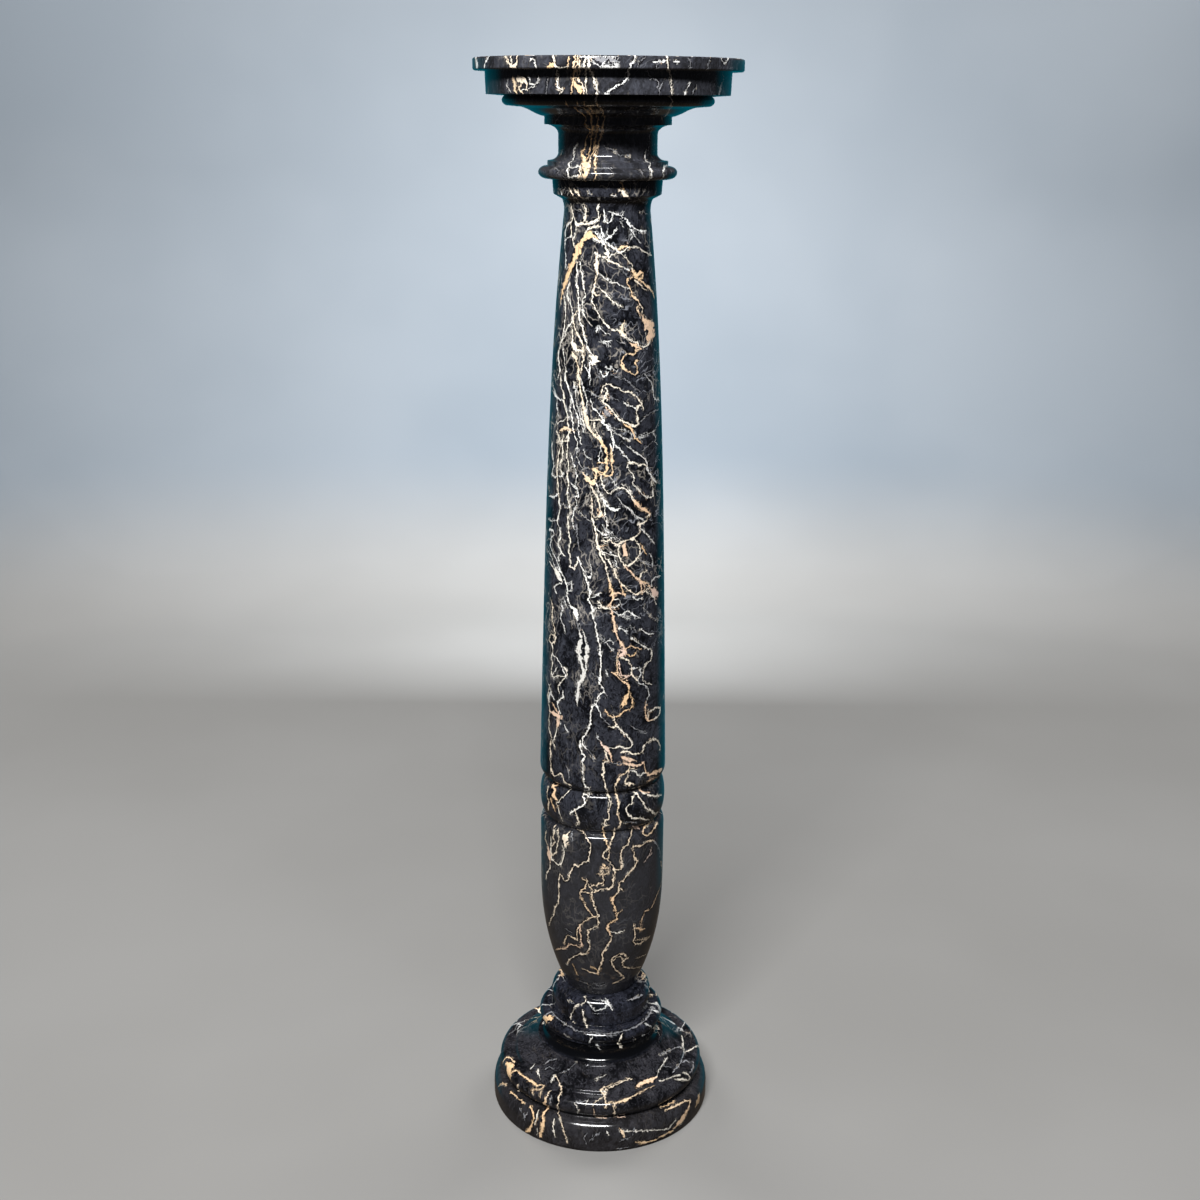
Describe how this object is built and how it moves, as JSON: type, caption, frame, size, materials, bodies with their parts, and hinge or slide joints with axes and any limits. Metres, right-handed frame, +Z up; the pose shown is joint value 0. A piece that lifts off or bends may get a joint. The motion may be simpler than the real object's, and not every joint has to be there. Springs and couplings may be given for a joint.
{
  "type": "marble column",
  "caption": "Turned black marble pedestal column with a round top slab, a tapered shaft over a vase-shaped lower part and a stepped round base; a bust, vase or plant stands on its flat top",
  "frame": {"origin": "on the floor, at the middle of the foot's underside", "axes": "+Z is up along the column's axis, -Y is the side that faces the viewer, +X is the viewer's right; the column is round, so X and Y only place the veins"},
  "size_m": [0.2512, 0.2512, 1.1],
  "materials": {
    "marble": "polished black marble with gold, cream, pink and white veins"
  },
  "bodies": {
    "root": {"capital": "marble", "shaft": "marble", "base_drum": "marble", "foot": "marble"}
  },
  "joints": []
}
